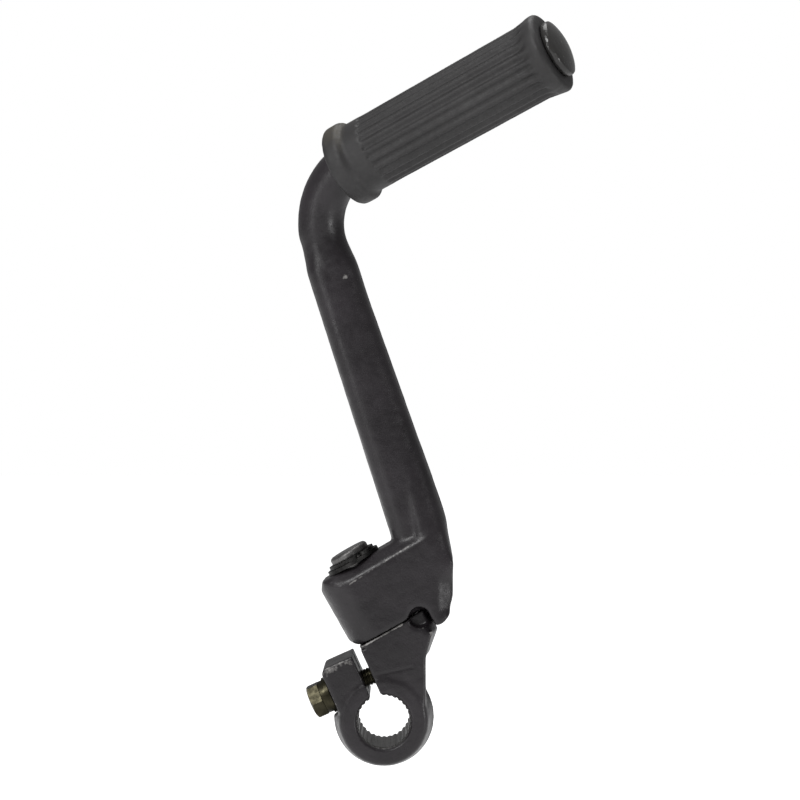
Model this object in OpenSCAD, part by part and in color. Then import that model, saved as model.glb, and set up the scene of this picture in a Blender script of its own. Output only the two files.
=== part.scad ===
// Folding kick start lever of a motorcycle, in millimetres.
// The origin is the centre of the shaft bore, whose axis is Y. The outer side faces -Y and +Z is up.
// The lever turns on a leaning pivot post. It is drawn folded in, as the detent holds it at rest.

/* [Clamp ring] */
// Radius of the forged ring at its middle
ring_r = 16; // [14.5:0.1:18]
// Length of the ring along the shaft
ring_length = 18.4; // [16:0.2:24]
// Radius that the forging's draft takes off at each face
ring_draft = 1.9; // [0.8:0.1:2.2]
// Chamfer of the ring's outer edges
ring_edge = 1; // [0.3:0.1:1.4]
// Radius at the tips of the bore's serrations
bore_r = 8.2; // [7:0.1:9.5]
// Depth of one serration
serration_depth = 0.6; // [0.3:0.05:0.9]
// Number of serrations
serration_count = 30; // [18:1:36]
// Chamfer at each end of the bore
bore_chamfer = 1.1; // [0.7:0.1:1.6]

/* [Clamp slot and ear] */
// Lean of the slot from upright
slot_angle = 24.5; // [20:0.5:30]
// Width of the sawn slot
slot_w = 3.4; // [2.4:0.1:4]
// Distance of the slot's middle from the bore's centre line
slot_shift = 1; // [0.5:0.1:1.5]
// Height of the ear along the slot, from the bore centre
ear_top = 23; // [21:0.1:25]
// Distance from the bore's centre line to the bolt's seat
ear_seat = 12.3; // [11:0.1:14]
// Radius of the round seat under the bolt
seat_r = 6; // [5.8:0.1:6.6]
// Chamfer on the ear's outer corner
ear_corner = 1.4; // [0.8:0.1:3]

/* [Pinch bolt] */
// Radius of the bolt's thread
bolt_r = 3; // [2.5:0.1:3]
// Distance of the bolt from the bore centre, along the slot
bolt_rise = 13.6; // [13.4:0.1:14.2]
// Length of the bolt under its head
bolt_length = 25; // [22:1:26]
// Width of the hexagon head across its flats
bolt_flats = 10; // [9:0.5:10.5]
// Height of the hexagon head
bolt_head_h = 4; // [3:0.1:5]
// Thickness of the plain washer
plain_washer_h = 1.2; // [0.8:0.1:1.6]
// Radius of the plain washer
plain_washer_r = 5.9; // [5.6:0.1:6.4]
// Thickness of the spring lock washer
lock_washer_h = 1.6; // [1.2:0.1:2]
// Radius of the spring lock washer
lock_washer_r = 5.3; // [5:0.1:5.8]

/* [Stem and pivot post] */
// Width of the stem from front to back
stem_depth = 17.6; // [15:0.2:22]
// Distance from the bore centre to the stem's right side
stem_side = 13.3; // [12:0.1:14.5]
// Lean of the pivot post from upright
post_lean = 29.5; // [26:0.5:33]
// Distance of the post's axis from the bore centre
post_offset = 16.1; // [15:0.1:18]
// Height of the shoulder along the post, from the bore centre
shoulder_rise = 24.3; // [23.5:0.1:28]
// Radius of the shoulder collar
collar_r = 12.8; // [12:0.1:13.2]
// Height of the shoulder collar
collar_h = 8; // [6:0.1:9]
// Height of the cone that carries the collar
flare_h = 5.5; // [4:0.1:6.5]
// Radius of the pivot post
post_r = 6.5; // [6:0.1:7]
// Length of the post that stands above the knuckle
post_end = 4.7; // [3.2:0.1:5.5]
// Chamfer of the post's end
post_chamfer = 0.7; // [0.3:0.1:0.9]

/* [Knuckle] */
// Radial running clearance of the post in its bore
post_clearance = 0.05; // [0.03:0.01:0.1]
// Distance from the post's axis to the knuckle's left side
knuckle_left = 13.7; // [13:0.1:16]
// Height of the knuckle
knuckle_h = 23.6; // [22:0.1:28]
// Width of the knuckle from front to back
knuckle_depth = 20; // [19:0.2:24]
// Height of the bevels along the knuckle's top
knuckle_bevel = 3.7; // [2:0.1:5]
// Distance from the post's axis to the heel that hangs beside the collar
heel_start = 13.2; // [13.2:0.1:14.5]
// Distance that the heel hangs below the shoulder
heel_drop = 6.6; // [4:0.1:7.5]
// Radius of the round pocket drilled across the joint line
pocket_r = 3.35; // [2.6:0.05:3.6]
// Depth of the pocket from the knuckle's front
pocket_depth = 4.8; // [3:0.1:5.2]

/* [Arm and pedal bar] */
// Distance from the post's axis to the arm's centre line at the shoulder
arm_offset = 19.4; // [18:0.1:22]
// Lean of the arm from the post
arm_lean = 10.9; // [8:0.1:14]
// Length of the arm from the shoulder to the bend
arm_length = 119; // [100:1:180]
// Width of the arm at its root
arm_root_w = 18.8; // [17:0.1:22]
// Width of the arm below the bend
arm_tip_w = 15.8; // [15:0.1:18]
// Thickness of the arm at its root
arm_root_t = 15.4; // [13:0.1:18]
// Thickness of the arm below the bend
arm_tip_t = 13.8; // [12:0.1:16]
// Corner radius of the arm's section
arm_corner_r = 5; // [3:0.1:6]
// Radius of the round bar
bar_r = 7.5; // [6.8:0.1:7.8]
// Radius of the bend, at the bar's centre line
bend_r = 21.6; // [18:0.1:28]
// Angle of the bend
bend_angle = 84; // [75:0.5:95]
// Turn of the bend out of the arm's plane
bend_turn = 25; // [0:0.5:35]
// Length of the pedal bar from the bend to its head
bar_length = 73.4; // [60:0.2:95]
// Radius of the head on the bar's end
head_r = 8.8; // [8.6:0.1:9.5]
// Height of the head's straight rim
head_rim = 2.2; // [1.5:0.1:3.5]
// Height of the head's dome
head_dome = 1.9; // [1:0.1:3]

/* [Pedal rubber] */
// Clearance between the rubber and what it is pushed over
rubber_clearance = 0.08; // [0.04:0.01:0.15]
// Length of rubber that reaches back over the end of the bend
rubber_reach = 3.9; // [2:0.1:5]
// Radius of the ribbed body
rubber_r = 11.7; // [11:0.1:13]
// Radius of the inner flange
inner_flange_r = 13.3; // [13:0.1:14.5]
// Width of the inner flange
inner_flange_w = 6.4; // [5:0.1:8]
// Radius of the outer flange at its end
outer_flange_r = 12.6; // [12.4:0.1:14.5]
// Width of the outer flange
outer_flange_w = 7.6; // [6:0.1:9]
// Rounding of the flanges' edges, drawn as chamfers
flange_edge = 1; // [0.5:0.1:1.6]
// Number of ribs around the rubber
rib_count = 24; // [18:1:28]
// Radius of the round grooves between the ribs
groove_r = 0.95; // [0.6:0.05:1.1]
// Length of smooth rubber between the inner flange and the ribs
smooth_band = 6.5; // [3:0.1:10]

/* [Retaining ring and washer] */
// Thickness of the washer on top of the knuckle
washer_h = 1.2; // [0.8:0.1:1.4]
// Radius of the washer
washer_r = 9; // [8.4:0.1:9.4]
// Thickness of the retaining ring
circlip_h = 1; // [0.8:0.1:1.1]
// Radial width of the retaining ring
circlip_w = 1.7; // [1.3:0.1:2]
// Depth of the ring's groove in the post
groove_depth = 0.35; // [0.2:0.05:0.6]

/* [Detent] */
// Radius of the detent ball
ball_r = 2; // [1.6:0.1:2.1]
// Distance of the ball from the post's axis
detent_r = 9.3; // [9.2:0.1:9.6]
// Place of the ball around the post, counted from the arm
detent_angle = 45; // [40:1:46]
// Depth of the ball's track in the shoulder
track_depth = 0.8; // [0.5:0.05:1]
// Depth of the hole that holds the ball and spring
detent_hole_h = 14; // [11:0.5:17]
// Radius of the spring's wire
spring_wire_r = 0.3; // [0.2:0.05:0.35]
// Number of turns of the spring
spring_turns = 7; // [5:1:9]
// Angle through which the lever folds out
fold_out = 62; // [50:1:64]

/* [Hidden] */
$fn = 96;
eps = 0.01;
hull_fn = 32;
seat_gap = 0.15;
washer_gap = 0.1;
stack_gap = 0.1;
thread_gap = 0.05;
bolt_hole_gap = 0.25;
seat_room = 0.3;
washer_hole_gap = 0.2;
ball_gap = 0.05;
track_gap = 0.15;
turned_off = 0.1;
bend_overlap = 1.5;
knuckle_corner = 2;
heel_corner = 0.6;
arm_start = 22;
blend_start = 14;
blend_end = 44;
bar_root = 8;
pocket_inset = 2.8;
pocket_drop = 1.1;
black = "#3a393b";
rubber_black = "#434244";
zinc = "#a49a6a";
steel = "#8f8f8d";

slot_left = slot_shift - slot_w / 2;
post_base = shoulder_rise - collar_h;
knuckle_base = seat_gap;
knuckle_front = knuckle_depth / 2;
washer_base = knuckle_h + washer_gap;
circlip_base = washer_base + washer_h + stack_gap;
circlip_in = post_r - groove_depth + stack_gap / 2;
circlip_out = circlip_in + circlip_w;
ball_z = ball_r - track_depth + track_gap;
spring_base = ball_z + ball_r + stack_gap;
spring_r = ball_r - spring_wire_r - ball_gap;
knuckle_right = arm_offset + 0.65 * arm_root_w;
under_head = ear_seat + plain_washer_h + lock_washer_h + 2 * stack_gap;
rubber_length = rubber_reach + bar_length;
rib_start = inner_flange_w + smooth_band;
rib_end = rubber_length - outer_flange_w - 1;

// Turns a point of a leaning frame into the part's own X and Z
function leaned(p, angle) = [p.x * cos(angle) - p.y * sin(angle), p.x * sin(angle) + p.y * cos(angle)];

// Frame with Z along the clamp slot
module slot_frame() rotate([0, -slot_angle, 0]) children();

// Frame with Z along the pivot post and its floor on the shoulder
module post_frame() rotate([0, -post_lean, 0]) translate([post_offset, 0, shoulder_rise]) children();

// Frame with Z along the arm, where the bend starts
module bend_frame() post_frame() translate([arm_offset, 0, 0]) rotate([0, arm_lean, 0])
    translate([0, 0, arm_length]) rotate([0, 0, -bend_turn]) children();

// Frame with Z along the pedal bar, from the end of the bend
module bar_frame() bend_frame() translate([bend_r * (1 - cos(bend_angle)), 0, bend_r * sin(bend_angle)])
    rotate([0, bend_angle, 0]) children();

// Extrudes an outline drawn in X and Z through a depth that is centred on Y
module slab(depth) rotate([90, 0, 0]) linear_extrude(depth, center = true) children();

// Cylinder along X, from one X to another
module rod_x(r, from, to) translate([from, 0, 0]) rotate([0, 90, 0]) cylinder(r = r, h = to - from);

// Forged ring with its draft and chamfered edges
module ring() {
    half = ring_length / 2;
    face_r = ring_r - ring_draft;
    rotate([90, 0, 0]) rotate_extrude()
        polygon([[0, -half], [face_r - ring_edge, -half], [face_r, -half + ring_edge], [ring_r, 0],
                 [face_r, half - ring_edge], [face_r - ring_edge, half], [0, half]]);
}

// Stem between the ring and the shoulder collar
module stem() {
    waist = leaned([post_offset + collar_r * 0.4, post_base - flare_h], post_lean);
    slab(stem_depth) polygon([
        leaned([slot_shift, 0], slot_angle),
        leaned([slot_shift, ear_top], slot_angle),
        leaned([post_offset - collar_r + 1, shoulder_rise - 1], post_lean),
        leaned([post_offset + collar_r - 1, post_base + 1], post_lean),
        [stem_side, waist.y],
        [stem_side, 2]
    ]);
}

// Round shoulder collar on its cone, trimmed flat at the front and back
module collar() {
    intersection() {
        post_frame() translate([0, 0, -collar_h]) union() {
            cylinder(r = collar_r, h = collar_h);
            translate([0, 0, -flare_h]) cylinder(r1 = collar_r * 0.5, r2 = collar_r, h = flare_h + eps);
        }
        slab(stem_depth) translate([-3 * ring_r, 0]) square(6 * ring_r);
    }
}

// Clamp ear with the round seat for the bolt
module ear() {
    seat_step = 0.4;
    side = ear_seat - seat_step;
    slot_frame() {
        slab(stem_depth) polygon([
            [slot_shift, 0], [slot_shift, ear_top], [-side + ear_corner, ear_top],
            [-side, ear_top - ear_corner], [-side, bolt_rise - seat_r + 1]
        ]);
        translate([0, 0, bolt_rise]) rod_x(seat_r, -ear_seat - seat_room, 0);
    }
}

// Chamfered bore with its serrations
module serrated_bore() {
    pitch = 2 * PI * bore_r / serration_count;
    mouth_half = 0.29 * pitch;
    root_half = 0.15 * pitch;
    bite_r = bore_r - 0.3;
    root_r = bore_r + serration_depth;
    mouth_r = bore_r + bore_chamfer;
    rotate([90, 0, 0]) {
        cylinder(r = bore_r, h = ring_length + 2, center = true);
        for (end = [0, 1]) mirror([0, 0, end]) translate([0, 0, ring_length / 2 - bore_chamfer])
            cylinder(r1 = bore_r, r2 = mouth_r + eps, h = bore_chamfer + eps);
        for (i = [0 : serration_count - 1]) rotate(i * 360 / serration_count)
            linear_extrude(ring_length + 2, center = true)
                polygon([
                    [bite_r, -mouth_half], [root_r, -root_half], [root_r, root_half], [bite_r, mouth_half]
                ]);
    }
}

// Round pocket that is drilled from the front across the joint line
module joint_pocket() {
    post_frame() translate([collar_r - pocket_inset, -knuckle_front + pocket_depth, -pocket_drop])
        rotate([90, 0, 0]) cylinder(r = pocket_r, h = pocket_depth + 2);
}

// Track in the shoulder that the detent ball runs along, with a stop at each end
module ball_track() {
    track_r = ball_r + track_gap;
    ball_reach = sqrt(ball_r * ball_r - ball_z * ball_z) + track_gap;
    end_turn = asin(ball_reach / detent_r);
    post_frame() translate([0, 0, ball_z]) rotate([0, 0, detent_angle - fold_out - end_turn])
        rotate_extrude(angle = fold_out + 2 * end_turn) translate([detent_r, 0]) circle(track_r);
}

// Pivot post with its chamfered end and the retaining ring's groove
module post() {
    top = knuckle_h + post_end;
    rotate_extrude() polygon([
        [0, -collar_h], [post_r, -collar_h], [post_r, circlip_base - stack_gap / 2],
        [post_r - groove_depth, circlip_base - stack_gap / 2],
        [post_r - groove_depth, circlip_base + circlip_h + stack_gap / 2],
        [post_r, circlip_base + circlip_h + stack_gap / 2],
        [post_r, top - post_chamfer], [post_r - post_chamfer, top], [0, top]
    ]);
}

module clamp_boss() {
    color(black) union() {
        difference() {
            union() {
                ring();
                stem();
                collar();
                ear();
            }
            serrated_bore();
            slot_frame() {
                translate([slot_left, -ring_length, 0]) cube([slot_w, 2 * ring_length, ear_top + bolt_rise]);
                translate([-ear_seat - ring_r, -ring_length, bolt_rise - seat_r - seat_room])
                    cube([ring_r, 2 * ring_length, 2 * (seat_r + seat_room)]);
                translate([0, 0, bolt_rise]) {
                    rod_x(bolt_r + bolt_hole_gap, -ear_seat - 1, slot_shift);
                    rod_x(bolt_r + thread_gap, slot_shift, bolt_length - under_head + 2);
                }
            }
            joint_pocket();
            ball_track();
        }
        post_frame() post();
    }
}

module pinch_bolt() {
    face_r = 0.48 * bolt_flats;
    edge_slope = 1.7;
    color(zinc) slot_frame() translate([0, 0, bolt_rise]) {
        rod_x(bolt_r, -under_head, bolt_length - under_head);
        intersection() {
            translate([-under_head - bolt_head_h, 0, 0]) rotate([0, 90, 0])
                cylinder(r = bolt_flats / sqrt(3), h = bolt_head_h, $fn = 6);
            translate([-under_head - bolt_head_h, 0, 0]) rotate([0, 90, 0])
                cylinder(r1 = face_r, r2 = face_r + bolt_head_h * edge_slope, h = bolt_head_h);
        }
    }
}

// Flat ring around the bolt, at a distance outside the ear's seat
module bolt_ring(outer, thickness, from_seat) {
    translate([0, 0, bolt_rise]) difference() {
        rod_x(outer, -ear_seat - from_seat - thickness, -ear_seat - from_seat);
        rod_x(bolt_r + washer_hole_gap, -ear_seat - from_seat - thickness - 1, -ear_seat - from_seat + 1);
    }
}

module plain_washer() {
    color(zinc) slot_frame() bolt_ring(plain_washer_r, plain_washer_h, stack_gap / 2);
}

// The lock washer is split by a slanted cut
module lock_washer() {
    cut_lean = 25;
    cut_w = 1;
    from_seat = plain_washer_h + stack_gap;
    middle = -ear_seat - from_seat - lock_washer_h / 2;
    color(zinc) slot_frame() difference() {
        bolt_ring(lock_washer_r, lock_washer_h, from_seat);
        translate([middle, 0, bolt_rise]) rotate([0, 0, cut_lean])
            translate([-3 * lock_washer_h, -cut_w / 2, 0]) cube([6 * lock_washer_h, cut_w, 2 * lock_washer_r]);
    }
}

module pivot_washer() {
    color(steel) post_frame() translate([0, 0, washer_base]) difference() {
        cylinder(r = washer_r, h = washer_h);
        translate([0, 0, -1]) cylinder(r = post_r + stack_gap, h = washer_h + 2);
    }
}

// Open retaining ring with two drilled lugs beside its gap
module retaining_ring() {
    opening_turn = -70;
    opening_w = 1.4;
    lug_turn = 15;
    lug_r = circlip_w * 0.95;
    lug_at = circlip_out + lug_r * 0.3;
    color(steel) post_frame() translate([0, 0, circlip_base]) rotate([0, 0, opening_turn])
        linear_extrude(circlip_h) difference() {
            union() {
                circle(circlip_out);
                for (side = [-1, 1]) rotate(side * lug_turn) translate([lug_at, 0]) circle(lug_r);
            }
            circle(circlip_in);
            translate([0, -opening_w / 2]) square([2 * circlip_out, opening_w]);
            for (side = [-1, 1]) rotate(side * lug_turn) translate([lug_at, 0]) circle(lug_r * 0.4);
        }
}

// Forged block that turns on the post: a front outline, a rounded plan and a bevelled side profile
module knuckle() {
    post_frame() intersection() {
        slab(knuckle_depth) polygon([
            [-knuckle_left + knuckle_corner, knuckle_base],
            [-knuckle_left, knuckle_base + knuckle_corner],
            [-knuckle_left, knuckle_h - 1.5 * knuckle_corner],
            [-knuckle_left + knuckle_corner, knuckle_h],
            [knuckle_right - 1.5 * knuckle_corner, knuckle_h],
            [knuckle_right, knuckle_h - 2 * knuckle_corner],
            [arm_offset + arm_root_w * 0.47, arm_root_w * 0.49],
            [arm_offset + arm_root_w * 0.16, -heel_drop * 0.15],
            [arm_offset + heel_corner, -heel_drop * 0.5],
            [arm_offset - heel_corner, 2 * heel_corner - heel_drop],
            [heel_start + 3 * heel_corner, -heel_drop],
            [heel_start, heel_corner - heel_drop],
            [heel_start, knuckle_base]
        ]);
        translate([0, 0, -2 * heel_drop]) linear_extrude(knuckle_h + 4 * heel_drop) union() {
            translate([-knuckle_left + knuckle_front, 0]) circle(knuckle_front);
            translate([-knuckle_left + knuckle_front, -knuckle_front]) square([60, knuckle_depth]);
        }
        translate([-2 * knuckle_left, 0, 0]) rotate([90, 0, 90]) linear_extrude(100) polygon([
            [-knuckle_front, -2 * heel_drop], [knuckle_front, -2 * heel_drop],
            [knuckle_front, knuckle_h - knuckle_bevel], [knuckle_front - knuckle_bevel, knuckle_h],
            [knuckle_bevel - knuckle_front, knuckle_h], [-knuckle_front, knuckle_h - knuckle_bevel]
        ]);
    }
}

// Tapering arm with a rounded rectangular section
module arm_blade() {
    end_h = 2;
    root = [arm_root_w / 2 - arm_corner_r, arm_root_t / 2 - arm_corner_r, arm_start];
    tip = [arm_tip_w / 2 - arm_corner_r, arm_tip_t / 2 - arm_corner_r, arm_length - end_h];
    post_frame() translate([arm_offset, 0, 0]) rotate([0, arm_lean, 0]) hull()
        for (end = [root, tip], side = [-1, 1], face = [-1, 1])
            translate([side * end.x, face * end.y, end.z])
                cylinder(r = arm_corner_r, h = end_h, $fn = hull_fn);
}

// Thickening that blends the arm's outer side into the knuckle, as wide as the knuckle where it starts
module arm_blend() {
    edge_r = 3;
    inset = 0.2;
    low_y = knuckle_front - edge_r - inset;
    high_y = arm_root_t / 2 - edge_r - inset;
    low_x = [edge_r - 0.16 * arm_root_w, 0.4 * arm_root_w - edge_r];
    high_x = [edge_r, 0.48 * arm_root_w - edge_r];
    post_frame() translate([arm_offset, 0, 0]) rotate([0, arm_lean, 0]) hull()
        for (side = [0, 1], face = [-1, 1]) {
            translate([low_x[side], face * low_y, blend_start]) cylinder(r = edge_r, h = 2, $fn = hull_fn);
            translate([high_x[side], face * high_y, blend_end]) cylinder(r = edge_r, h = 2, $fn = hull_fn);
        }
}

// Round bar from the top of the arm through the bend, made larger by a clearance for what fits over it.
// Its straight ends are turned a little smaller than the bend and start inside it.
module bar(clearance = 0) {
    r = bar_r + clearance;
    bend_frame() {
        translate([0, 0, -bar_root]) cylinder(r = r - turned_off, h = bar_root + bend_overlap);
        translate([bend_r, 0, 0]) rotate([90, 0, 0]) rotate([0, 0, 180 - bend_angle])
            rotate_extrude(angle = bend_angle) translate([bend_r, 0]) circle(r);
    }
    bar_frame() translate([0, 0, -bend_overlap])
        cylinder(r = r - turned_off, h = bar_length + bend_overlap + 1);
}

// Domed head that keeps the rubber on the bar
module bar_head() {
    dome_r = (head_r * head_r + head_dome * head_dome) / (2 * head_dome);
    bar_frame() translate([0, 0, bar_length + rubber_clearance]) intersection() {
        cylinder(r = head_r, h = head_rim + head_dome);
        translate([0, 0, head_rim + head_dome - dome_r]) sphere(dome_r);
    }
}

module kick_arm() {
    color(black) difference() {
        union() {
            knuckle();
            arm_blade();
            arm_blend();
            bar();
            bar_head();
        }
        post_frame() {
            translate([0, 0, -1]) cylinder(r = post_r + post_clearance, h = knuckle_h + 2);
            rotate([0, 0, detent_angle]) translate([detent_r, 0, -1])
                cylinder(r = ball_r + ball_gap, h = detent_hole_h + 1);
        }
        joint_pocket();
    }
}

module detent_ball() {
    color(steel) post_frame() rotate([0, 0, detent_angle]) translate([detent_r, 0, ball_z]) sphere(ball_r);
}

// Point of the coil's tube: along the coil by step, around the wire by angle
function coil_point(step, around, steps, height) =
    let (turn = 360 * spring_turns * step / steps, reach = spring_r + spring_wire_r * cos(around))
    [reach * cos(turn), reach * sin(turn), height * step / steps + spring_wire_r * sin(around)];

module detent_spring() {
    sides = 6;
    steps = 16 * spring_turns;
    height = detent_hole_h - spring_base - 2 * spring_wire_r - stack_gap;
    points = [for (i = [0 : steps], j = [0 : sides - 1]) coil_point(i, 360 * j / sides, steps, height)];
    walls = [for (i = [0 : steps - 1], j = [0 : sides - 1])
        [i * sides + j, (i + 1) * sides + j, (i + 1) * sides + (j + 1) % sides, i * sides + (j + 1) % sides]];
    first_cap = [for (j = [0 : sides - 1]) j];
    last_cap = [for (j = [sides - 1 : -1 : 0]) steps * sides + j];
    color(steel) post_frame() rotate([0, 0, detent_angle])
        translate([detent_r, 0, spring_base + spring_wire_r])
            polyhedron(points, concat(walls, [first_cap, last_cap]), convexity = 6);
}

module pedal_rubber() {
    far = rubber_length;
    outer_start = far - outer_flange_w;
    flange_step = 0.2;
    groove_at = rubber_r + groove_r * 0.1;
    color(rubber_black) difference() {
        bar_frame() translate([0, 0, -rubber_reach]) difference() {
            rotate_extrude() polygon([
                [0, 0], [inner_flange_r - flange_edge, 0], [inner_flange_r, flange_edge],
                [inner_flange_r, inner_flange_w - flange_edge],
                [inner_flange_r - flange_edge, inner_flange_w],
                [rubber_r, inner_flange_w], [rubber_r, outer_start],
                [rubber_r + flange_step, outer_start + 2 * flange_step],
                [outer_flange_r, far - flange_edge], [outer_flange_r - flange_edge, far], [0, far]
            ]);
            for (i = [0 : rib_count - 1]) rotate(i * 360 / rib_count)
                translate([groove_at, 0, rib_start])
                    cylinder(r = groove_r, h = rib_end - rib_start, $fn = 24);
        }
        bar(rubber_clearance);
    }
}

clamp_boss();
pinch_bolt();
lock_washer();
plain_washer();
pivot_washer();
retaining_ring();
kick_arm();
detent_ball();
detent_spring();
pedal_rubber();
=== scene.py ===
import math

import bpy
import numpy as np
from mathutils import Matrix, Vector, noise


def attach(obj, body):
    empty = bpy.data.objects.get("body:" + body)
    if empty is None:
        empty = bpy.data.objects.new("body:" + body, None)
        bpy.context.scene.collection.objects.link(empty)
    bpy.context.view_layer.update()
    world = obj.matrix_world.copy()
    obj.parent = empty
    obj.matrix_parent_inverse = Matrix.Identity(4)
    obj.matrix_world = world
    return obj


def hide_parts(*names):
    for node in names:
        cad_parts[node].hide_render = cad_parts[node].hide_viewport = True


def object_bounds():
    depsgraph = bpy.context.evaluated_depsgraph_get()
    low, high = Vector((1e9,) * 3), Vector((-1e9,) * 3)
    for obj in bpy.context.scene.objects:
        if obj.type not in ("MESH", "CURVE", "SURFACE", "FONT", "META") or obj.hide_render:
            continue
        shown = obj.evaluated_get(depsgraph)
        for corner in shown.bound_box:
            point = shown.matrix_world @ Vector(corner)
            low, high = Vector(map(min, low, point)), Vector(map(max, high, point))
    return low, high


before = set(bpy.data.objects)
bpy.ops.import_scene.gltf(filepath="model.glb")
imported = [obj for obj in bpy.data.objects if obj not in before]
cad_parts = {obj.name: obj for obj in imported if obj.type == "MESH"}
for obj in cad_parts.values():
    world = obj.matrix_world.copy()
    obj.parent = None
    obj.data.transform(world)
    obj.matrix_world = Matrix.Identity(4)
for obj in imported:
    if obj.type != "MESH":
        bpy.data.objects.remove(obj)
CAD_BOX = [list(corner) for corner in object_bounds()]

bl_info = {
    "name": "Folding kick start lever",
    "version": (1, 0, 0),
    "blender": (4, 5, 0),
    "location": "3D View > Sidebar > Kick lever",
    "description": "Dresses the forged, painted and rubber pieces of a folding kick start lever",
    "category": "Object",
}

MM = 0.001

# Sizes of the solids, as in the part's source or worked out from it
BORE_R = 8.2 * MM
BORE_LENGTH = 16.2 * MM
SERRATIONS = 30
SLOT_ANGLE = math.radians(24.5)
SLOT_LEFT = -0.7 * MM
SLOT_RIGHT = 2.7 * MM
POST_LEAN = math.radians(29.5)
POST_OFFSET = 16.1 * MM
SHOULDER_RISE = 24.3 * MM
KNUCKLE_H = 23.6 * MM
ARM_OFFSET = 19.4 * MM
ARM_LEAN = math.radians(10.9)
ARM_LENGTH = 119 * MM
BEND_R = 21.6 * MM
BEND_ANGLE = math.radians(84)
BEND_TURN = math.radians(25)
BAR_LENGTH = 73.4 * MM
RUBBER_REACH = 3.9 * MM
RUBBER_LENGTH = BAR_LENGTH + RUBBER_REACH
RUBBER_R = 11.7 * MM
RIB_COUNT = 24
GROOVE_R = 0.95 * MM
OUTER_FLANGE_R = 12.6 * MM
OUTER_FLANGE_W = 7.6 * MM
BOLT_RISE = 13.6 * MM
BOLT_LENGTH = 25 * MM
BOLT_FLATS = 10 * MM
BOLT_HEAD = 4 * MM
UNDER_HEAD = 15.3 * MM

# Clamp: the skin is crisp below the first distance and forged above the second
BORE_TO_SKIN = (9.5 * MM, 10.6 * MM)
POST_TO_SKIN = (7.4 * MM, 8.4 * MM)
SAW_TO_SKIN = (0.3 * MM, 1.4 * MM)
SAW_WEIGHT = 0.12
POST_FOOT = -0.4 * MM
SHOULDER_START = (-1.4 * MM, -0.8 * MM)
SHOULDER_END = (0.3 * MM, 0.6 * MM)
SHOULDER_HOLD = 0.85
CLAMP_GRAIN = 0.045 * MM
CLAMP_EDGE_DEPTH = 0.35 * MM
CLAMP_RIDGE_W = 0.55 * MM
RIDGE_BELOW_POST = (-3 * MM, -1 * MM)
RIDGE_FROM_BORE = (11 * MM, 12 * MM)
CREASE = ((-2.9 * MM, 14.5 * MM), (8.7 * MM, 17.1 * MM))
CREASE_DEPTH = 0.14 * MM
CREASE_WIDTH = 0.45 * MM
POST_TOP = (KNUCKLE_H - 1 * MM, KNUCKLE_H)
BARE_POST = (6.55 * MM, 6.8 * MM)
BARE_BORE = (8.4 * MM, 8.9 * MM)

# Clamp: painted highlights, as lighter paint, on the collar's lip, with a brighter spot at its end,
# and on the ear's top facet
LIP_START = (-0.95 * MM, -0.5 * MM)
LIP_END = (-0.02 * MM, 0.1 * MM)
LIP_FROM_POST = (8 * MM, 8.5 * MM)
LIP_HIGHLIGHT = 0.9
LIP_SPOT = 3.6 * MM
LIP_SPOT_R = 0.8 * MM
LIP_SPOT_HIGHLIGHT = 0.6
LIP_STOP = (LIP_SPOT + 0.6 * MM, LIP_SPOT + 1.4 * MM)
EAR_TOP = (17 * MM, 22 * MM)
EAR_SIDE = SLOT_LEFT + 0.1 * MM
EAR_HIGHLIGHT = 0.73

# Bore teeth
TOOTH_DEPTH = 0.9 * MM
TOOTH_SHARE = 0.44
GAP_MIDDLE = math.pi / 2 + SLOT_ANGLE - 0.13
GAP_HALF = 0.3

# Arm
KNUCKLE_TO_SKIN = (7.0 * MM, 8.2 * MM)
HEAD_START = (BAR_LENGTH - 4 * MM, BAR_LENGTH - 2 * MM)
HEAD_HOLD = 0.75
GLOSS_START = (BAR_LENGTH - 1 * MM, BAR_LENGTH)
ARM_GRAIN = 0.05 * MM
ARM_EDGE_DEPTH = 0.6 * MM
ARM_RIDGE_W = 0.7 * MM
RIDGE_TOP = (140 * MM, 160 * MM)
RIDGE_FROM_POST = (10 * MM, 12 * MM)
BARE_KNUCKLE = (6.7 * MM, 7.0 * MM)
BARE_SHARE = 0.9
SIDE_MELT_FOOT = (9 * MM, 15 * MM)
SIDE_MELT_TOP = (98 * MM, 112 * MM)
SIDE_MELT_WIDTH = (1 * MM, 5 * MM)
BEND_MELT_START = (-7 * MM, -4 * MM)
BEND_MELT_END = (2 * MM, 5 * MM)
BEND_MELT_WIDTH = (12 * MM, 16 * MM)
# Painted highlight line along the knuckle's top front edge, and a worn chip high on the arm
HIGHLIGHT_LINE = ((-10.9 * MM, 43.6 * MM), (9.6 * MM, 56.8 * MM))
HIGHLIGHT_WIDTH = 0.5 * MM
HIGHLIGHT_STRENGTH = 0.8
CHIP = (-12.4 * MM, 141.2 * MM)
CHIP_RADIUS = 1.4 * MM
CHIP_WEAR = 0.92

# Flat on the knuckle's right front corner: its direction, its place, and the heights where it fades
FLAT_X, FLAT_Y = 0.5, -0.866
FLAT_OFFSET = 17.3 * MM
FLAT_LIFT = 2 * MM
FLAT_FOOT = (31 * MM, 36 * MM)
FLAT_TOP = (44 * MM, 49 * MM)
FLAT_LIMIT = 60 * MM

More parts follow.
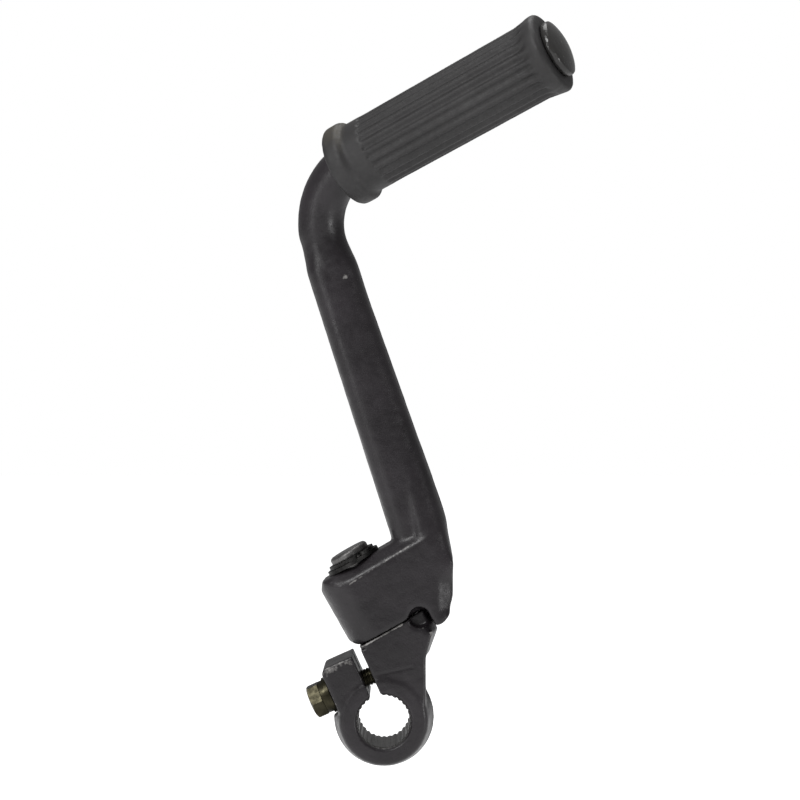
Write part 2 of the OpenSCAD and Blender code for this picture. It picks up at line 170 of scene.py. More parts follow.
# Rubber: places are along it from its inner end, and the run-out's from where that starts
INNER_FLANGE_END = (7 * MM, 9 * MM)
OUTER_SKIN = (RUBBER_LENGTH - 5 * MM, RUBBER_LENGTH - 3.5 * MM)
RIB_WEIGHT = 0.12
RUBBER_STEPS = 9
RUBBER_GRAIN = 0.03 * MM
RUBBER_RUB_DEPTH = 0.3 * MM
DIRT_END = (6 * MM, 9 * MM)
RUN_OUT_START = RUBBER_LENGTH - OUTER_FLANGE_W
RUN_OUT_FADE = (1 * MM, 4.2 * MM)
RUN_OUT_BACK = 2 * MM
OUTER_SLOPE = (OUTER_FLANGE_R - RUBBER_R) / (OUTER_FLANGE_W - 1 * MM)
GROOVE_BOTTOM = RUBBER_R - 1.2 * GROOVE_R

# Pinch bolt: heights are along its axis, from the plane through the bore's axis
SHANK_R = 3.0 * MM
SHANK_END = -3.4 * MM
CORE_R = 2.62 * MM
CORE_START = -3.0 * MM
THREAD_START = -3.2 * MM
THREAD_SHORT = 0.8 * MM
THREAD_RIDGE = 0.38 * MM
THREAD_SUNK = 0.02 * MM
TIP_CHAMFER = 0.6 * MM
RING_POINTS = 96
HEAD_FACE = 0.47
HEAD_SLOPE = 1.7
HEAD_CORNER = 0.1 * MM
HEAD_UNDERSIDE = 0.99
# Rings of the head's round face: share of the face's radius, and height above it
FACE_RINGS = ((0.6, 0.15 * MM), (0.7, 0), (0.97, 0), (1, 0.06 * MM))

# Forging
WELD_GAP = 0.01 * MM
MELT_STEPS = 220
SETTLE_STEPS = 2
SETTLE_FLOOR = 0.05
GRAIN_BROAD = 260
GRAIN_FINE = 700

# Stage
LENS = 69.75
SENSOR = 36
CAMERA_PLACE = (0.00516, -0.5, 0.10194)
LIT_POINT = Vector((0.005, 0, 0.1))
FLOOR_HALF = 4.0
FLOOR_TONE = (0.8, 0.8, 0.8, 1)
FLOOR_GLOW = 0.9
FLOOR_GLOSSY_SHARE = 0.5
WHITE = (1, 1, 1, 1)
# Name, place and width of each lamp
LAMPS = (
    ("key", (-0.55, -0.75, 0.75), 0.4),
    ("top", (0.05, 0.1, 0.95), 0.7),
    ("left", (-0.66, -0.72, 0.2), 0.22),
    ("fill", (0.75, -0.6, 0.0), 0.22),
)


def turn(angle, axis):
    """Rotation matrix about a named axis."""
    return Matrix.Rotation(angle, 4, axis)


SLOT_FRAME = turn(-SLOT_ANGLE, "Y")
BOLT_FRAME = SLOT_FRAME @ Matrix.Translation((0, 0, BOLT_RISE)) @ turn(math.pi / 2, "Y")
POST_FRAME = turn(-POST_LEAN, "Y") @ Matrix.Translation((POST_OFFSET, 0, SHOULDER_RISE))
ARM_FRAME = POST_FRAME @ Matrix.Translation((ARM_OFFSET, 0, 0)) @ turn(ARM_LEAN, "Y")
BEND_FRAME = ARM_FRAME @ Matrix.Translation((0, 0, ARM_LENGTH)) @ turn(-BEND_TURN, "Z")
BEND_END = (BEND_R * (1 - math.cos(BEND_ANGLE)), 0, BEND_R * math.sin(BEND_ANGLE))
BAR_FRAME = BEND_FRAME @ Matrix.Translation(BEND_END) @ turn(BEND_ANGLE, "Y")


# Node helpers

def node(tree, kind, **values):
    """Adds a node and sets its properties and inputs."""
    made = tree.nodes.new(kind)
    for key, value in values.items():
        if key in made.inputs:
            made.inputs[key].default_value = value
        else:
            setattr(made, key, value)
    return made


def feed(tree, value, socket):
    """Links an output to a socket, or sets the socket's own value."""
    if isinstance(value, bpy.types.NodeSocket):
        tree.links.new(value, socket)
    else:
        socket.default_value = value


def mix_colour(tree, fac, first, second):
    """Mixes two colours by a mask. Each colour is three numbers or an output."""
    made = node(tree, "ShaderNodeMix", data_type="RGBA")
    tree.links.new(fac, made.inputs[0])
    for index, colour in ((6, first), (7, second)):
        plain = not isinstance(colour, bpy.types.NodeSocket)
        feed(tree, (*colour, 1) if plain else colour, made.inputs[index])
    return made.outputs[2]


def mix_value(tree, fac, first, second):
    """Mixes two values by a mask. Each value is a number or an output."""
    made = node(tree, "ShaderNodeMix", data_type="FLOAT")
    tree.links.new(fac, made.inputs[0])
    feed(tree, first, made.inputs[2])
    feed(tree, second, made.inputs[3])
    return made.outputs[0]


def spread(tree, value, low, high, to_low=0.0, to_high=1.0):
    """Maps a value from one range to another, clamped."""
    made = node(tree, "ShaderNodeMapRange", clamp=True)
    tree.links.new(value, made.inputs["Value"])
    made.inputs["From Min"].default_value = low
    made.inputs["From Max"].default_value = high
    made.inputs["To Min"].default_value = to_low
    made.inputs["To Max"].default_value = to_high
    return made.outputs["Result"]


def calc(tree, operation, first, second=0.0):
    """One Math node on one or two values or outputs."""
    made = node(tree, "ShaderNodeMath", operation=operation)
    feed(tree, first, made.inputs[0])
    feed(tree, second, made.inputs[1])
    return made.outputs[0]


def attribute(tree, name):
    """Value of one of the mesh's own attributes."""
    return node(tree, "ShaderNodeAttribute", attribute_name=name).outputs["Fac"]


def noise_on_object(tree, scale, **values):
    """Noise on Object coordinates, with its scale from an output."""
    place = node(tree, "ShaderNodeTexCoord")
    grain = node(tree, "ShaderNodeTexNoise", **values)
    tree.links.new(place.outputs["Object"], grain.inputs["Vector"])
    tree.links.new(scale, grain.inputs["Scale"])
    return grain.outputs["Fac"]


# Finishes

def start_group(name, inputs, outputs):
    """Starts a shader node group with float inputs and outputs."""
    tree = bpy.data.node_groups.new(name, "ShaderNodeTree")
    for label, default in inputs:
        socket = tree.interface.new_socket(label, in_out="INPUT", socket_type="NodeSocketFloat")
        socket.default_value = default
    for label in outputs:
        tree.interface.new_socket(label, in_out="OUTPUT", socket_type="NodeSocketFloat")
    return tree, tree.nodes.new("NodeGroupInput"), tree.nodes.new("NodeGroupOutput")


def make_grain_group():
    """Surface grain on three scales: fine, coarse and broad patches."""
    inputs = [("Fine Scale", 2500.0), ("Coarse Scale", 500.0), ("Patch Scale", 70.0)]
    tree, given, out = start_group("surface_grain", inputs, ["Fine", "Coarse", "Patches"])
    for label, key, detail in (("Fine", "Fine Scale", 3.0), ("Coarse", "Coarse Scale", 4.0),
                               ("Patches", "Patch Scale", 5.0)):
        grain = noise_on_object(tree, given.outputs[key], Detail=detail, Roughness=0.6)
        tree.links.new(grain, out.inputs[label])


def make_wear_and_highlight_group():
    """Lighter edges: the piece's own edge attribute, broken up by noise. On the forgings it marks
    rubbed wear together with painted highlights; on the rubber it marks greying wear.
    """
    inputs = [("Scale", 600.0), ("Start", 0.5), ("Width", 0.3)]
    tree, given, out = start_group("rubbed_edges", inputs, ["Mask"])
    grain = noise_on_object(tree, given.outputs["Scale"], Detail=6.0, Roughness=0.7)
    uneven = calc(tree, "MULTIPLY", calc(tree, "SUBTRACT", grain, 0.5), 1.4)
    total = calc(tree, "ADD", attribute(tree, "edge"), uneven)
    over = calc(tree, "DIVIDE", calc(tree, "SUBTRACT", total, given.outputs["Start"]),
                given.outputs["Width"])
    tree.links.new(spread(tree, over, 0.0, 1.0), out.inputs["Mask"])


def place_group(tree, name, **values):
    """Puts a shader node group in a material with its own values."""
    made = tree.nodes.new("ShaderNodeGroup")
    made.node_tree = bpy.data.node_groups[name]
    for key, value in values.items():
        made.inputs[key.replace("_", " ")].default_value = value
    return made.outputs


def start_material(name):
    """New material with a Principled shader."""
    made = bpy.data.materials.new(name)
    made.use_nodes = True
    tree = made.node_tree
    tree.nodes.clear()
    shader = tree.nodes.new("ShaderNodeBsdfPrincipled")
    out = tree.nodes.new("ShaderNodeOutputMaterial")
    tree.links.new(shader.outputs[0], out.inputs["Surface"])
    return tree, shader.inputs


def bump(tree, shader, height, strength, distance):
    """Bump node on the shader's normal."""
    made = node(tree, "ShaderNodeBump", Strength=strength, Distance=distance)
    tree.links.new(height, made.inputs["Height"])
    tree.links.new(made.outputs["Normal"], shader["Normal"])


def scaled(colour, gain, lift=0.0):
    """A colour made lighter or darker."""
    return tuple(channel * gain + lift for channel in colour)


def black_paint(name, looks):
    """Satin black paint on a forging, with bare steel where the bare attribute says. Its edges and
    some marked lines are painted lighter, partly as rubbed wear and partly as painted highlights.
    """
    tree, shader = start_material(name)
    shader["Specular IOR Level"].default_value = 0.4
    grain = place_group(tree, "surface_grain",
                        Fine_Scale=1800.0, Coarse_Scale=420.0, Patch_Scale=45.0)
    lighter_edges = place_group(tree, "rubbed_edges", Scale=520.0, Start=0.66, Width=0.35)
    bare, gloss = attribute(tree, "bare"), attribute(tree, "gloss")
    patches = spread(tree, grain["Patches"], 0.42, 0.68)
    colour = mix_colour(tree, patches, tuple(looks.paint), scaled(looks.paint, 1.9, 0.004))
    # Painted sheen: the head's end takes the lighter head colour
    colour = mix_colour(tree, gloss, colour, tuple(looks.head))
    # Lighter paint on the edge mask: rubbed wear, and painted highlights along edges and marked
    # lines
    colour = mix_colour(tree, lighter_edges["Mask"], colour, tuple(looks.wear_and_highlight))
    steel = mix_colour(tree, spread(tree, grain["Coarse"], 0.35, 0.7),
                       tuple(looks.steel), scaled(looks.steel, 0.6))
    tree.links.new(mix_colour(tree, bare, colour, steel), shader["Base Color"])
    rough = spread(tree, grain["Coarse"], 0.3, 0.75,
                   looks.paint_roughness - 0.07, looks.paint_roughness + 0.12)
    rough = mix_value(tree, gloss, rough, 0.2)
    tree.links.new(mix_value(tree, bare, rough, 0.42), shader["Roughness"])
    tree.links.new(mix_value(tree, bare, 0.0, 0.9), shader["Metallic"])
    height = calc(tree, "ADD", grain["Coarse"], calc(tree, "MULTIPLY", grain["Fine"], 0.35))
    bump(tree, shader, height, 0.35, 0.35 * MM)


def aged_rubber(name, looks):
    """Matte rubber that has greyed on its ribs and edges, with dirt where the attribute says."""
    tree, shader = start_material(name)
    grain = place_group(tree, "surface_grain",
                        Fine_Scale=2600.0, Coarse_Scale=600.0, Patch_Scale=60.0)
    lighter_edges = place_group(tree, "rubbed_edges", Scale=300.0, Start=0.45, Width=0.7)
    dark = tuple(looks.rubber)
    grey = scaled(dark, 1.7, 0.006)
    between = tuple((a + b) / 2 for a, b in zip(dark, grey))
    colour = mix_colour(tree, spread(tree, grain["Patches"], 0.4, 0.7), dark, between)
    colour = mix_colour(tree, lighter_edges["Mask"], colour, grey)
    uneven = spread(tree, grain["Coarse"], 0.3, 0.6, 0.25, 1.0)
    dirty = calc(tree, "MULTIPLY", attribute(tree, "dirt"), uneven)
    tree.links.new(mix_colour(tree, dirty, colour, tuple(looks.dirt)), shader["Base Color"])
    tree.links.new(spread(tree, grain["Coarse"], 0.3, 0.7, 0.5, 0.66), shader["Roughness"])
    height = calc(tree, "ADD", grain["Coarse"], calc(tree, "MULTIPLY", grain["Fine"], 0.5))
    bump(tree, shader, height, 0.25, 0.2 * MM)


def metal(name, colour, gain, darker_gain, roughness, spots):
    """Plated or plain metal with uneven tone."""
    tree, shader = start_material(name)
    shader["Metallic"].default_value = 1.0
    grain = place_group(tree, "surface_grain",
                        Fine_Scale=2200.0, Coarse_Scale=700.0, Patch_Scale=260.0)
    mask = spread(tree, grain["Patches"], 0.45 - spots, 0.75 - spots)
    tone = mix_colour(tree, mask, scaled(colour, gain), scaled(colour, darker_gain))
    tree.links.new(tone, shader["Base Color"])
    rough = spread(tree, grain["Coarse"], 0.3, 0.7, roughness - 0.06, roughness + 0.14)
    tree.links.new(rough, shader["Roughness"])
    bump(tree, shader, grain["Fine"], 0.15, 0.1 * MM)


def prepare_materials():
    """Makes the shared groups and the finishes once."""
    if "forged_black" in bpy.data.materials:
        return
    looks = bpy.context.scene.kick_looks
    make_grain_group()
    make_wear_and_highlight_group()
    black_paint("forged_black", looks)
    aged_rubber("aged_rubber", looks)
    metal("yellow_zinc", looks.zinc, 1.0, 0.45, 0.34, 0.05)
    metal("plain_steel", looks.steel, 1.0, 0.4, 0.4, 0.1)
    metal("dull_steel", looks.steel, 0.3, 0.1, 0.45, 0.1)


def paint(obj, name):
    """Gives an object one of the finishes."""
    prepare_materials()
    obj.data.materials.clear()
    obj.data.materials.append(bpy.data.materials[name])


# Mesh helpers

def add_piece(name, mesh, body, finish, replaced=(), smooth=True):
    obj = bpy.data.objects.new(name, mesh)
    bpy.context.scene.collection.objects.link(obj)
    paint(obj, finish)
    for face in mesh.polygons:
        face.use_smooth = smooth
    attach(obj, body)
    if replaced:
        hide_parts(*replaced)


def evaluated_mesh(obj):
    """The object's mesh with its modifiers applied. The object itself is removed."""
    bpy.context.view_layer.update()
    graph = bpy.context.evaluated_depsgraph_get()
    mesh = bpy.data.meshes.new_from_object(obj.evaluated_get(graph), depsgraph=graph)
    old = obj.data
    bpy.data.objects.remove(obj)
    bpy.data.meshes.remove(old)
    return mesh


def remeshed(node_name, voxel):
    """Copy of a CAD node's mesh, merged and made even with small faces."""
    work = bpy.data.objects.new("work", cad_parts[node_name].data.copy())
    bpy.context.scene.collection.objects.link(work)
    weld = work.modifiers.new("weld", "WELD")
    weld.merge_threshold = WELD_GAP
    remesh = work.modifiers.new("remesh", "REMESH")
    remesh.mode = "VOXEL"
    remesh.voxel_size = voxel
    remesh.adaptivity = 0.0
    return evaluated_mesh(work)


def points_of(mesh):
    """The mesh's points as an array."""
    flat = np.empty(len(mesh.vertices) * 3)
    mesh.vertices.foreach_get("co", flat)
    return flat.reshape(-1, 3)


def move_points(mesh, points):
    """Puts the mesh's points in new places."""
    mesh.vertices.foreach_set("co", points.ravel())
    mesh.update()


def normals_of(mesh):
    """The mesh's point normals as an array."""
    flat = np.empty(len(mesh.vertices) * 3)
    mesh.vertex_normals.foreach_get("vector", flat)
    return flat.reshape(-1, 3)


def edges_of(mesh):
    """The mesh's edges as pairs of point numbers."""
    flat = np.empty(len(mesh.edges) * 2, dtype=np.int64)
    mesh.edges.foreach_get("vertices", flat)
    return flat.reshape(-1, 2)


def store(mesh, name, values):
    """Writes a float attribute on the mesh's points."""
    layer = mesh.attributes.new(name, "FLOAT", "POINT")
    layer.data.foreach_set("value", values.astype(np.float32))


def relax(points, edges, weight, steps):
    """Moves each point towards its neighbours' middle, by its weight."""
    count = len(points)
    degree = np.bincount(edges.ravel(), minlength=count)
    share = 0.5 * weight / degree
    for _ in range(steps):
        total = np.empty_like(points)
        for k in range(3):
            column = points[:, k]
            total[:, k] = (np.bincount(edges[:, 0], column[edges[:, 1]], minlength=count)
                           + np.bincount(edges[:, 1], column[edges[:, 0]], minlength=count))
        points = points + share[:, None] * (total - degree[:, None] * points)
    return points


def ramp(value, low, high):
    """0 below low, 1 above high, smooth between."""
    t = np.clip((value - low) / (high - low), 0, 1)
    return t * t * (3 - 2 * t)


def fade(value, low, high):
    """1 below low, 0 above high, smooth between."""
    return 1 - ramp(value, low, high)


def bell(gap, width):
    """1 where the gap is 0, falling off over the width."""
    return np.exp(-(gap / width) ** 2)


def in_frame(points, matrix):
    """Points in a leaning frame's own coordinates."""
    inverse = np.array(matrix.inverted())
    return points @ inverse[:3, :3].T + inverse[:3, 3]


def around(local):
    """Distance from a frame's own Z axis."""
    return np.hypot(local[:, 0], local[:, 1])


def from_shaft(points):
    """Distance from the kick shaft's axis."""
    return np.hypot(points[:, 0], points[:, 2])


def from_line(points, ends):
    """Distance, seen from the front, to the line between two ends."""
    first, last = np.array(ends[0]), np.array(ends[1])
    along = last - first
    flat = points[:, [0, 2]]
    share = np.clip(((flat - first) @ along) / (along @ along), 0, 1)
    return np.linalg.norm(flat - first - share[:, None] * along, axis=1)


def from_spot(points, spot):
    """Distance, seen from the front, to a spot."""
    return np.linalg.norm(points[:, [0, 2]] - np.array(spot), axis=1)


def facing(normals, low, high):
    """1 where the surface faces the front."""
    return ramp(-normals[:, 1], low, high)


def noise_at(points, scale, seed):
    """Smooth noise at each point, about -1 to 1."""
    shift = Vector((seed, seed * 0.7, seed * 1.3))
    return np.array([noise.noise(Vector(p) * scale + shift) for p in points])


def forge(mesh, weight, steps, grain, seed, edge_depth,
          relief=None, bare=None, gloss=None, wear_and_highlight=None, melt=None):
    """Rounds and roughens a mesh as a forging is, and stores its edge, bare and gloss attributes.

    The weight says how much of each is done at each point. Melt is a mask for extra rounding
    before it. Relief is the height of ridges over the surface. Edge depth is the rounding's depth
    at which an edge counts in full in the edge attribute; on the forgings that attribute lightens
    the paint both as rubbed wear and as painted highlights. Relief, bare, gloss and
    wear_and_highlight are functions of the points and their normals.
    """
    edges = edges_of(mesh)
    start = points_of(mesh)
    if melt is not None:
        start = relax(start, edges, melt * weight, MELT_STEPS)
    settled = relax(start, edges, np.ones(len(start)), SETTLE_STEPS)
    start = np.where(weight[:, None] > SETTLE_FLOOR, settled, start)
    points = relax(start, edges, weight, steps)
    move_points(mesh, points)
    normals = normals_of(mesh)
    sunk = np.einsum("ij,ij->i", start - points, normals)
    broad, fine = noise_at(points, GRAIN_BROAD, seed), noise_at(points, GRAIN_FINE, seed + 3)
    push = grain * weight * (broad + 0.5 * fine)
    if relief:
        push += relief(points, normals)
    points = np.clip(points + normals * push[:, None], CAD_BOX[0], CAD_BOX[1])
    move_points(mesh, points)
    none = np.zeros(len(points))
    edge = np.clip(sunk / edge_depth, 0, 1)
    # The edge attribute also takes the marked lines of painted highlight and wear
    store(mesh, "edge", np.maximum(edge, wear_and_highlight(points, normals)) if wear_and_highlight else edge)
    store(mesh, "bare", bare(points, normals) if bare else none)
    store(mesh, "gloss", gloss(points, normals) if gloss else none)


def lofted(name, rings):
    """Closed mesh through rings of points. The first and last ring are capped."""
    size = len(rings[0])
    faces = []
    for i in range(len(rings) - 1):
        for j in range(size):
            k = (j + 1) % size
            faces.append((i * size + j, i * size + k, (i + 1) * size + k, (i + 1) * size + j))
    last = (len(rings) - 1) * size
    faces.append(tuple(reversed(range(size))))
    faces.append(tuple(range(last, last + size)))
    mesh = bpy.data.meshes.new(name)
    mesh.from_pydata([point for ring in rings for point in ring], [], faces)
    mesh.update()
    return mesh


# Geometry Nodes helpers

def geometry_tree(name, sockets):
    """Starts a Geometry Nodes tree with named inputs and a geometry output."""
    tree = bpy.data.node_groups.new(name, "GeometryNodeTree")
    for label, kind, default in sockets:
        socket = tree.interface.new_socket(label, in_out="INPUT", socket_type=kind)
        socket.default_value = default
    tree.interface.new_socket("Geometry", in_out="OUTPUT", socket_type="NodeSocketGeometry")
    return tree, tree.nodes.new("NodeGroupInput").outputs, tree.nodes.new("NodeGroupOutput")


def finish_tree(tree, geometry, out, finish):
    """Ends a tree in Realize Instances and Set Material."""
    prepare_materials()
    real = tree.nodes.new("GeometryNodeRealizeInstances")
    coat = tree.nodes.new("GeometryNodeSetMaterial")
    coat.inputs["Material"].default_value = bpy.data.materials[finish]
    tree.links.new(geometry, real.inputs[0])
    tree.links.new(real.outputs[0], coat.inputs["Geometry"])
    tree.links.new(coat.outputs[0], out.inputs[0])


def mesh_from_tree(tree, values):
    """Runs a tree with the given inputs and returns a plain mesh."""
    carrier = bpy.data.objects.new("carrier", bpy.data.meshes.new("carrier"))
    bpy.context.scene.collection.objects.link(carrier)
    modifier = carrier.modifiers.new("nodes", "NODES")
    modifier.node_group = tree
    for item in tree.interface.items_tree:
        if item.item_type == "SOCKET" and item.in_out == "INPUT" and item.name in values:
            modifier[item.identifier] = values[item.name]
    return evaluated_mesh(carrier)


class KICK_PG_looks(bpy.types.PropertyGroup):
    """Colours of the finishes."""
    paint: bpy.props.FloatVectorProperty(
        name="Paint", description="Colour of the black paint on the forgings",
        default=(0.0104, 0.0085, 0.0102), size=3, subtype="COLOR", min=0, max=1)
    # Lighter paint for rubbed edges, which also serves as painted highlights on edges and marked
    # lines
    wear_and_highlight: bpy.props.FloatVectorProperty(
        name="Rubbed edges", description="Colour of the paint where edges are rubbed",
        default=(0.3, 0.29, 0.28), size=3, subtype="COLOR", min=0, max=1)
    paint_roughness: bpy.props.FloatProperty(
        name="Paint roughness", description="Roughness of the black paint",
        default=0.34, min=0.1, max=0.9, subtype="FACTOR")
    # The head's colour is lighter than the rest of the paint, as a painted sheen standing in for
    # its highlights
    head: bpy.props.FloatVectorProperty(
        name="Head", description="Colour of the glossy paint on the pedal bar's head",
        default=(0.031, 0.03, 0.029), size=3, subtype="COLOR", min=0, max=1)
    rubber: bpy.props.FloatVectorProperty(
        name="Rubber", description="Colour of the pedal rubber",
        default=(0.0172, 0.0162, 0.0167), size=3, subtype="COLOR", min=0, max=1)
    dirt: bpy.props.FloatVectorProperty(
        name="Dirt", description="Colour of the dirt on the rubber's inner flange",
        default=(0.042, 0.036, 0.026), size=3, subtype="COLOR", min=0, max=1)
    zinc: bpy.props.FloatVectorProperty(
        name="Zinc", description="Colour of the yellow plated bolt and its washers",
        default=(0.046, 0.042, 0.027), size=3, subtype="COLOR", min=0, max=1)
    steel: bpy.props.FloatVectorProperty(
        name="Steel", description="Colour of the machined steel",
        default=(0.165, 0.161, 0.158), size=3, subtype="COLOR", min=0, max=1)


class KICK_PG_shape(bpy.types.PropertyGroup):
    """Sizes of the fine shapes that the solids leave plain."""
    clamp_voxel: bpy.props.FloatProperty(
        name="Clamp detail", description="Size of the clamp's faces",
        default=0.00034, min=0.0003, max=0.001, subtype="DISTANCE", unit="LENGTH")
    arm_voxel: bpy.props.FloatProperty(
        name="Arm detail", description="Size of the arm's faces",
        default=0.0005, min=0.0004, max=0.001, subtype="DISTANCE", unit="LENGTH")
    rubber_voxel: bpy.props.FloatProperty(
        name="Rubber detail", description="Size of the rubber's faces",
        default=0.00043, min=0.0003, max=0.001, subtype="DISTANCE", unit="LENGTH")
    clamp_rounding: bpy.props.IntProperty(
        name="Clamp rounding", description="Steps that round the clamp's forged edges",
        default=16, min=0, max=60)
    arm_rounding: bpy.props.IntProperty(
        name="Arm rounding", description="Steps that round the arm's forged edges",
        default=14, min=0, max=60)
    ridge: bpy.props.FloatProperty(
        name="Parting ridge", description="Height of the ridge where the forging dies met",
        default=0.00022, min=0.0, max=0.0006, subtype="DISTANCE", unit="LENGTH")
    thread_pitch: bpy.props.FloatProperty(
        name="Thread pitch", description="Pitch of the pinch bolt's thread",
        default=0.001, min=0.0005, max=0.0015, subtype="DISTANCE", unit="LENGTH")


class KICK_PG_stage(bpy.types.PropertyGroup):
    """Floor and lights."""
    floor_z: bpy.props.FloatProperty(
        name="Floor height", description="Height of the floor under the part",
        default=-0.12, min=-1.0, max=-0.02, subtype="DISTANCE", unit="LENGTH")
    key_power: bpy.props.FloatProperty(
        name="Key light", description="Power of the main light, above the front left",
        default=6.0, min=0.0, max=100.0, unit="POWER")
    top_power: bpy.props.FloatProperty(
        name="Top light", description="Power of the largest light, overhead",
        default=4.5, min=0.0, max=100.0, unit="POWER")
    fill_power: bpy.props.FloatProperty(
        name="Fill light", description="Power of the small light low on the front right",
        default=1.45, min=0.0, max=100.0, unit="POWER")
    left_power: bpy.props.FloatProperty(
        name="Left light", description="Power of the small light on the front left",
        default=1.2, min=0.0, max=100.0, unit="POWER")
    world: bpy.props.FloatProperty(
        name="Surroundings", description="Brightness of the white surroundings",
        default=0.28, min=0.0, max=1.0, subtype="FACTOR")


class KICK_OT_clamp(bpy.types.Operator):
    """Forged clamp with its post, bore and serrations"""
    bl_idname = "kick.clamp"
    bl_label = "Forged clamp"

    def execute(self, context):
        shape = context.scene.kick_shape
        mesh = remeshed("clamp_boss", shape.clamp_voxel)
        points = points_of(mesh)
        post = in_frame(points, POST_FRAME)
        saw = in_frame(points, SLOT_FRAME)
        from_saw = np.minimum(abs(saw[:, 0] - SLOT_LEFT), abs(saw[:, 0] - SLOT_RIGHT))
        shoulder = ramp(post[:, 2], *SHOULDER_START) * fade(post[:, 2], *SHOULDER_END)
        weight = ramp(from_shaft(points), *BORE_TO_SKIN)
        weight *= np.where(post[:, 2] > POST_FOOT, ramp(around(post), *POST_TO_SKIN), 1)
        near_saw = SAW_WEIGHT + (1 - SAW_WEIGHT) * ramp(from_saw, *SAW_TO_SKIN)
        weight *= np.where(saw[:, 2] > 0, near_saw, 1)
        weight *= 1 - SHOULDER_HOLD * shoulder

        def relief(at, normals):
            ridge = shape.ridge * fade(abs(normals[:, 1]), 0.25, 0.6)
            ridge *= bell(at[:, 1], CLAMP_RIDGE_W)
            ridge *= fade(in_frame(at, POST_FRAME)[:, 2], *RIDGE_BELOW_POST)
            ridge *= ramp(from_shaft(at), *RIDGE_FROM_BORE)
            crease = CREASE_DEPTH * bell(from_line(at, CREASE), CREASE_WIDTH)
            return ridge - crease * facing(normals, 0.6, 0.9)

        def bare(at, normals):
            on_post = in_frame(at, POST_FRAME)
            top = fade(around(on_post), *BARE_POST)
            top *= ramp(on_post[:, 2], *POST_TOP)
            return np.maximum(top, fade(from_shaft(at), *BARE_BORE))

        forge(mesh, weight, shape.clamp_rounding, CLAMP_GRAIN, seed=5.0,
              edge_depth=CLAMP_EDGE_DEPTH, relief=relief, bare=bare, wear_and_highlight=self.wear_and_highlight)
        add_piece("forged_clamp", mesh, "clamp", "forged_black", ["clamp_boss"])
        self.teeth()
        return {"FINISHED"}

    def wear_and_highlight(self, at, normals):
        """Painted highlights on the front of the collar's lip and on the ear's top facet."""
        post = in_frame(at, POST_FRAME)
        lip = ramp(post[:, 2], *LIP_START) * fade(post[:, 2], *LIP_END)
        lip *= facing(normals, 0.2, 0.6) * ramp(around(post), *LIP_FROM_POST)
        lip *= LIP_HIGHLIGHT + LIP_SPOT_HIGHLIGHT * bell(post[:, 0] - LIP_SPOT, LIP_SPOT_R)
        lip *= fade(post[:, 0], *LIP_STOP)
        ear = in_frame(at, SLOT_FRAME)
        top = EAR_HIGHLIGHT * ramp(ear[:, 2], *EAR_TOP) * facing(normals, 0.1, 0.5)
        return np.maximum(lip, top * (ear[:, 0] < EAR_SIDE))

    def teeth(self):
        """Crisp serrations on the bore's wall, one tooth repeated and left out at the slot."""
        tree, given, out = geometry_tree("bore_teeth", [
            ("Count", "NodeSocketInt", 12), ("Radius", "NodeSocketFloat", 0.01),
            ("Depth", "NodeSocketFloat", 0.001), ("Width", "NodeSocketFloat", 0.001),
            ("Length", "NodeSocketFloat", 0.01), ("Gap Middle", "NodeSocketFloat", 0.0),
            ("Gap Half", "NodeSocketFloat", 0.1)])
        links = tree.links
        line = node(tree, "GeometryNodeMeshLine")
        links.new(given["Count"], line.inputs["Count"])
        index = node(tree, "GeometryNodeInputIndex").outputs[0]
        step = calc(tree, "DIVIDE", 2 * math.pi, given["Count"])
        angle = calc(tree, "MULTIPLY", calc(tree, "ADD", index, 0.5), step)
        middle = calc(tree, "ADD", given["Radius"], calc(tree, "MULTIPLY", given["Depth"], 0.5))
        spot = node(tree, "ShaderNodeCombineXYZ")
        for label, ratio in (("X", "COSINE"), ("Y", "SINE")):
            links.new(calc(tree, "MULTIPLY", middle, calc(tree, ratio, angle)), spot.inputs[label])
        put = node(tree, "GeometryNodeSetPosition")
        links.new(line.outputs[0], put.inputs["Geometry"])
        links.new(spot.outputs[0], put.inputs["Position"])
        away = calc(tree, "ABSOLUTE", calc(tree, "SUBTRACT", angle, given["Gap Middle"]))
        block = node(tree, "GeometryNodeMeshCube")
        size = node(tree, "ShaderNodeCombineXYZ")
        for label, key in (("X", "Depth"), ("Y", "Width"), ("Z", "Length")):
            links.new(given[key], size.inputs[label])
        links.new(size.outputs[0], block.inputs["Size"])
        heading = node(tree, "ShaderNodeCombineXYZ")
        links.new(angle, heading.inputs["Z"])
        spin = node(tree, "FunctionNodeEulerToRotation")
        links.new(heading.outputs[0], spin.inputs[0])
        many = node(tree, "GeometryNodeInstanceOnPoints")
        links.new(put.outputs[0], many.inputs["Points"])
        links.new(calc(tree, "GREATER_THAN", away, given["Gap Half"]), many.inputs["Selection"])
        links.new(block.outputs[0], many.inputs["Instance"])
        links.new(spin.outputs[0], many.inputs["Rotation"])
        finish_tree(tree, many.outputs[0], out, "plain_steel")
        pitch = 2 * math.pi * BORE_R / SERRATIONS
        mesh = mesh_from_tree(tree, {
            "Count": SERRATIONS, "Radius": BORE_R, "Depth": TOOTH_DEPTH,
            "Width": TOOTH_SHARE * pitch, "Length": BORE_LENGTH,
            "Gap Middle": GAP_MIDDLE, "Gap Half": GAP_HALF})
        # The tree works round Z, and the bore's axis is Y.
        mesh.transform(turn(math.pi / 2, "X"))
        add_piece("bore_serrations", mesh, "clamp", "plain_steel", smooth=False)


